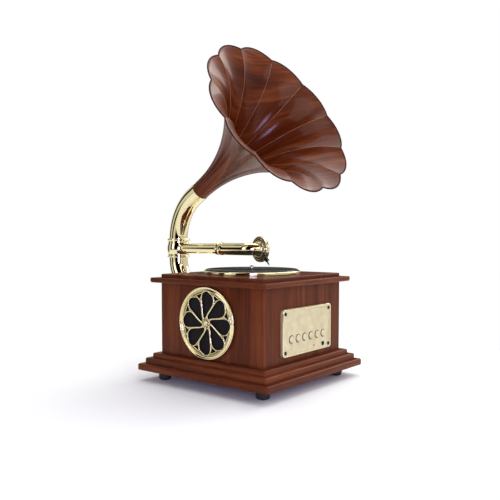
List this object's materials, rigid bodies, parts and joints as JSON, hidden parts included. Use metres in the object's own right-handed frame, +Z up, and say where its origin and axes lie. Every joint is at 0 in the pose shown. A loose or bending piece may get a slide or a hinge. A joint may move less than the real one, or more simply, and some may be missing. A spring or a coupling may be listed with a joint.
{
  "type": "horn loudspeaker",
  "caption": "Gramophone-styled loudspeaker with a stepped wooden cabinet, turntable, brass tonearm and a petalled horn on a brass gooseneck.",
  "frame": {"origin": "on the floor under the middle of the whole object's plan box", "axes": "+Z up; -Y is the front, the control plate's side, towards which the horn points; -X is the grille side"},
  "size_m": [0.233, 0.2668, 0.4181],
  "materials": {
    "cabinet_wood": "satin lacquer over a dark mahogany veneer film",
    "horn_wood": "wood-grain film under gloss lacquer",
    "brass": "polished",
    "plate_brass": "fine brushed",
    "rubber": "matt",
    "steel": "plain",
    "dark_screw": "blackened",
    "record": "pressed grooves",
    "label": "plain dark paper label",
    "cloth": "woven",
    "basket_steel": "black",
    "cone_paper": "pulp",
    "surround_rubber": "matt",
    "magnet": "ferrite",
    "board_green": "solder mask",
    "black_plastic": "moulded",
    "cover_board": "painted black",
    "lamp": "moulded lens",
    "diaphragm": "thin sheet"
  },
  "bodies": {
    "cabinet": {"front_panel": "cabinet_wood", "back_panel": "cabinet_wood", "left_panel": "cabinet_wood", "right_panel": "cabinet_wood", "top_board": "cabinet_wood", "top_moulding_board": "cabinet_wood", "plinth_upper_board": "cabinet_wood", "plinth_middle_board": "cabinet_wood", "plinth_lower_board": "cabinet_wood", "bottom_cover": "cover_board", "rubber_feet": "rubber", "foot_screws": "steel", "wood_screws": "steel", "grille_ring": "brass", "grille_rosette": "brass", "speaker_cloth": "cloth", "speaker_basket": "basket_steel", "speaker_surround": "surround_rubber", "speaker_cone": "cone_paper", "speaker_dust_cap": "cone_paper", "speaker_magnet": "magnet", "control_plate": "plate_brass", "brass_screws": "dark_screw", "button_switches": "black_plastic", "audio_jack": "black_plastic", "status_lamp": "lamp", "control_board": "board_green", "power_inlet": "black_plastic", "platter_bush": "brass", "platter_motor": "steel", "gooseneck_lower_pipe": "brass", "gooseneck_flange": "brass", "horn_driver": "black_plastic", "collar_lower_ring": "brass"},
    "platter": {"platter": "brass", "record_disc": "record", "record_label": "label", "platter_spindle": "steel"},
    "tonearm": {"tonearm_barrel": "brass", "tonearm_tube": "brass", "tonearm_ring": "brass"},
    "sound_box": {"elbow": "brass", "sound_box_case": "brass", "sound_box_diaphragm": "diaphragm", "needle_holder": "brass", "needle": "steel", "needle_arm": "brass"},
    "horn": {"gooseneck_upper_pipe": "brass", "collar_upper_ring": "brass", "horn_bell": "horn_wood"},
    "button_1": {"button_1": "plate_brass"},
    "button_2": {"button_2": "plate_brass"},
    "button_3": {"button_3": "plate_brass"},
    "button_4": {"button_4": "plate_brass"},
    "button_5": {"button_5": "plate_brass"},
    "button_6": {"button_6": "plate_brass"}
  },
  "joints": [
    {"name": "platter_spin", "type": "hinge", "parent": "cabinet", "child": "platter", "pos_m": [0.01192, -0.01673, 0.136], "axis": [0, 0, 1], "continuous": true},
    {"name": "tonearm_swing", "type": "hinge", "parent": "cabinet", "child": "tonearm", "pos_m": [0.01192, 0.11727, 0.167], "axis": [0, 0, 1], "range_deg": [-25, 25]},
    {"name": "sound_box_turn", "type": "hinge", "parent": "tonearm", "child": "sound_box", "pos_m": [0.01192, 0.03977, 0.167], "axis": [0, -1, 0], "range_deg": [0, 130]},
    {"name": "horn_swing", "type": "hinge", "parent": "cabinet", "child": "horn", "pos_m": [0.01192, 0.11727, 0.167], "axis": [0, 0, 1], "range_deg": [-30, 40]},
    {"name": "button_1_press", "type": "slide", "parent": "cabinet", "child": "button_1", "axis": [0, 1, 0], "range_m": [0, 0.0012], "stiffness_N_per_m": 400, "springref_m": -0.001},
    {"name": "button_2_press", "type": "slide", "parent": "cabinet", "child": "button_2", "axis": [0, 1, 0], "range_m": [0, 0.0012], "stiffness_N_per_m": 400, "springref_m": -0.001},
    {"name": "button_3_press", "type": "slide", "parent": "cabinet", "child": "button_3", "axis": [0, 1, 0], "range_m": [0, 0.0012], "stiffness_N_per_m": 400, "springref_m": -0.001},
    {"name": "button_4_press", "type": "slide", "parent": "cabinet", "child": "button_4", "axis": [0, 1, 0], "range_m": [0, 0.0012], "stiffness_N_per_m": 400, "springref_m": -0.001},
    {"name": "button_5_press", "type": "slide", "parent": "cabinet", "child": "button_5", "axis": [0, 1, 0], "range_m": [0, 0.0012], "stiffness_N_per_m": 400, "springref_m": -0.001},
    {"name": "button_6_press", "type": "slide", "parent": "cabinet", "child": "button_6", "axis": [0, 1, 0], "range_m": [0, 0.0012], "stiffness_N_per_m": 400, "springref_m": -0.001}
  ]
}
